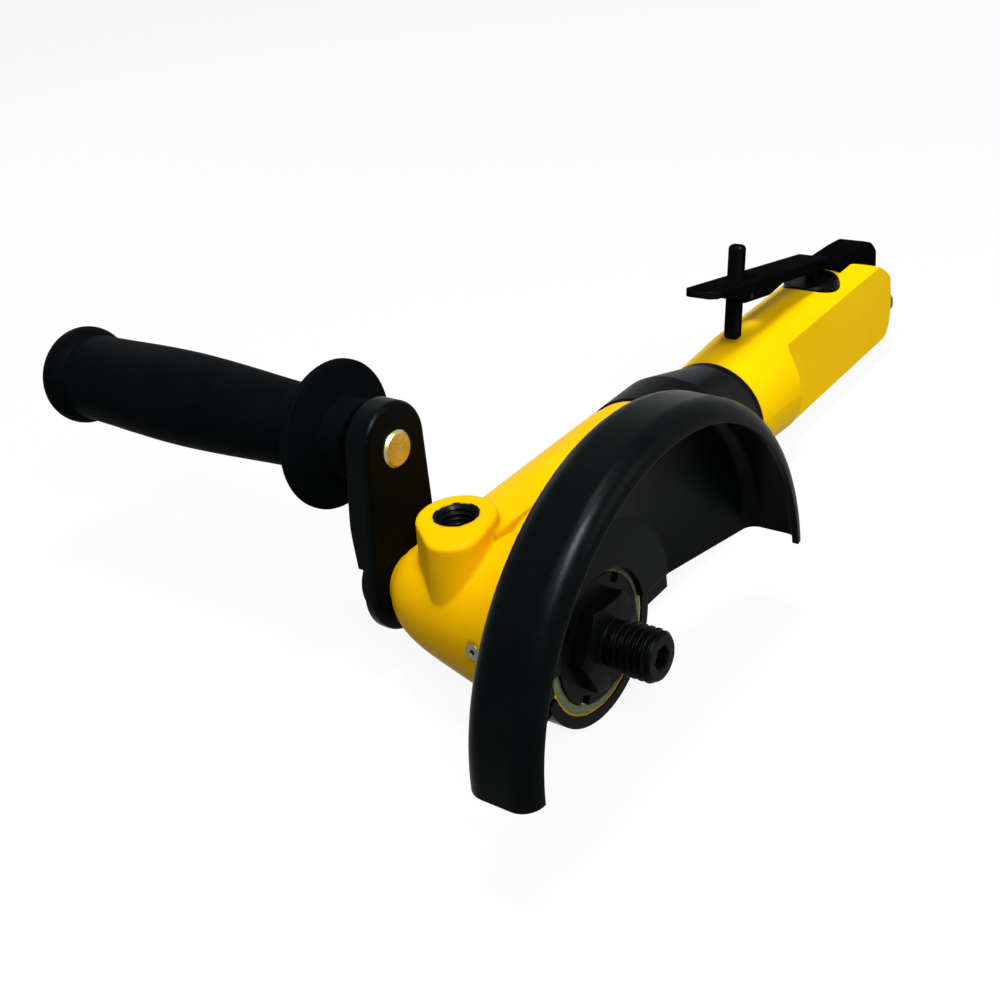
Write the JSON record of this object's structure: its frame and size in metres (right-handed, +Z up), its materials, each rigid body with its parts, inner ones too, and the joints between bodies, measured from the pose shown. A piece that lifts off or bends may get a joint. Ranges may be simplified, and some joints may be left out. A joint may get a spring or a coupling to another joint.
{
  "type": "air grinder",
  "caption": "Pneumatic angle grinder with bevel-geared spindle, half-round wheel guard, swivelling side handle, and lever throttle with a lock-off bar.",
  "frame": {"origin": "centre of the spindle's wheel seat, the front face of its hex flange", "axes": "+X out along the spindle, +Y to the rear of the tool along its body, +Z up to the throttle lever"},
  "size_m": [0.2566, 0.3532, 0.1014],
  "materials": {
    "yellow_enamel": "glossy yellow enamel on cast aluminium",
    "black_paint": "satin black paint on steel",
    "black_oxide": "black oxide on steel",
    "black_aluminium": "black anodised aluminium",
    "zinc": "bright zinc plate",
    "steel": "ground steel",
    "iron": "machined cast iron",
    "bronze": "plain bronze",
    "seal_rubber": "nitrile rubber",
    "grip_plastic": "matte black moulded plastic",
    "vane_plastic": "phenolic laminate"
  },
  "bodies": {
    "body": {"angle_housing": "yellow_enamel", "handle_insert": "black_oxide", "grease_fitting": "zinc", "bearing_retainer": "black_oxide", "spindle_seal": "seal_rubber", "lower_bearing": "steel", "upper_bearing": "steel", "cylinder": "iron", "cylinder_pin": "steel", "front_end_plate": "iron", "rear_end_plate": "iron", "front_rotor_bearing": "steel", "rear_rotor_bearing": "steel", "coupling_nut": "black_aluminium", "throttle_housing": "yellow_enamel", "inlet_bushing": "steel", "inlet_screen": "bronze", "valve_bush": "black_oxide", "valve_spring": "steel", "valve_cap": "steel", "valve_cap_seal": "seal_rubber", "lever_pin": "steel", "bracket_washer": "black_oxide", "bracket_bolt": "black_oxide"},
    "spindle": {"spindle": "black_oxide", "ring_gear": "steel", "gear_key": "steel", "gear_retaining_ring": "steel"},
    "rotor": {"rotor": "steel", "pinion": "steel", "rotor_vanes": "vane_plastic"},
    "throttle_lever": {"throttle_lever": "black_paint", "lock_off_pin": "black_oxide"},
    "lock_off": {"lock_off_lever": "black_oxide"},
    "valve": {"throttle_valve": "steel"},
    "guard": {"guard_shell": "black_paint", "guard_collar": "black_paint", "clamp_screw": "zinc", "clamp_nut": "zinc"},
    "side_handle": {"handle_bracket": "black_paint", "handle_bolt": "zinc", "grip_spacer": "black_oxide", "handle_grip": "grip_plastic"}
  },
  "joints": [
    {"name": "rotor_spin", "type": "hinge", "parent": "body", "child": "rotor", "pos_m": [-0.045, 0.075, 0], "axis": [0, 1, 0], "continuous": true},
    {"name": "spindle_spin", "type": "hinge", "parent": "body", "child": "spindle", "pos_m": [0, 0, 0], "axis": [1, 0, 0], "continuous": true},
    {"name": "guard_swing", "type": "hinge", "parent": "body", "child": "guard", "pos_m": [-0.011, 0, 0], "axis": [1, 0, 0], "range_deg": [-90, 90]},
    {"name": "handle_swing", "type": "hinge", "parent": "body", "child": "side_handle", "pos_m": [-0.0765, 0, 0], "axis": [1, 0, 0], "range_deg": [-90, 90]},
    {"name": "throttle_press", "type": "hinge", "parent": "body", "child": "throttle_lever", "pos_m": [-0.045, 0.252, 0.0115], "axis": [1, 0, 0], "range_deg": [0, 4.5], "stiffness_Nm_per_rad": 2, "springref_deg": -4.58},
    {"name": "lock_off_swing", "type": "hinge", "parent": "throttle_lever", "child": "lock_off", "pos_m": [-0.045, 0.15959, 0.03993], "axis": [1, 0, 0], "range_deg": [-59, 0]},
    {"name": "valve_slide", "type": "slide", "parent": "body", "child": "valve", "axis": [0, 0, -1], "range_m": [0, 0.0026], "deforming": ["valve_spring"]}
  ],
  "couplings": [
    {"joint": "spindle_spin", "follows": "rotor_spin", "ratio": -0.53846},
    {"joint": "lock_off_swing", "follows": "throttle_press", "ratio": -13},
    {"joint": "valve_slide", "follows": "throttle_press", "m_per_rad": 0.0324}
  ]
}
